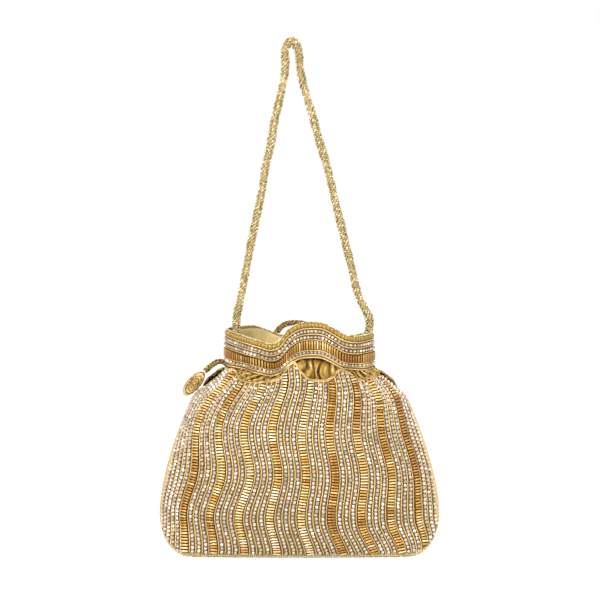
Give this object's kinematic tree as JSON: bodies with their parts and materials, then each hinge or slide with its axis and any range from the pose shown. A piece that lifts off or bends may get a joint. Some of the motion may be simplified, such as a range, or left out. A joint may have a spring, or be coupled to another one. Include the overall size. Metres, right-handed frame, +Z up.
{
  "type": "potli bag",
  "caption": "Beaded drawstring pouch with snaking bugle-bead ladders, a waved beaded collar and a twisted bead rope handle.",
  "frame": {"origin": "centre of the flattened base that the bag stands on", "axes": "+Z up, +Y towards the back, +X to the right as seen from the front"},
  "size_m": [0.236, 0.0848, 0.4315],
  "materials": {
    "beaded_cloth": "net embroidered all over with clear silver-pink beads and gold thread",
    "bugle_beads": "silver-lined gold glass bugle beads",
    "satin": "antique gold satin",
    "brocade": "pale gold woven lining",
    "pale_beads": "pale champagne-gold seed beads",
    "antique_beads": "antique gold seed beads",
    "gold_thread": "metallic gold thread cord"
  },
  "bodies": {
    "root": {"front_panel": "beaded_cloth", "front_bugle_column_1": "bugle_beads", "front_bugle_column_2": "bugle_beads", "front_bugle_column_3": "bugle_beads", "front_bugle_column_4": "bugle_beads", "front_bugle_column_5": "bugle_beads", "front_bugle_column_6": "bugle_beads", "front_bugle_column_7": "bugle_beads", "front_bugle_column_8": "bugle_beads", "front_bugle_column_9": "bugle_beads", "casing_front": "satin", "collar_front": "beaded_cloth", "collar_bugles_front": "bugle_beads", "collar_rim_front": "pale_beads", "back_panel": "beaded_cloth", "back_bugle_column_1": "bugle_beads", "back_bugle_column_2": "bugle_beads", "back_bugle_column_3": "bugle_beads", "back_bugle_column_4": "bugle_beads", "back_bugle_column_5": "bugle_beads", "back_bugle_column_6": "bugle_beads", "back_bugle_column_7": "bugle_beads", "back_bugle_column_8": "bugle_beads", "back_bugle_column_9": "bugle_beads", "casing_back": "satin", "collar_back": "beaded_cloth", "collar_bugles_back": "bugle_beads", "collar_rim_back": "pale_beads", "seam_piping": "gold_thread", "lining": "brocade", "drawstring_left": "antique_beads", "drawstring_right": "antique_beads", "tab_left": "pale_beads", "tab_right": "pale_beads", "handle_rope": "pale_beads"}
  },
  "joints": []
}
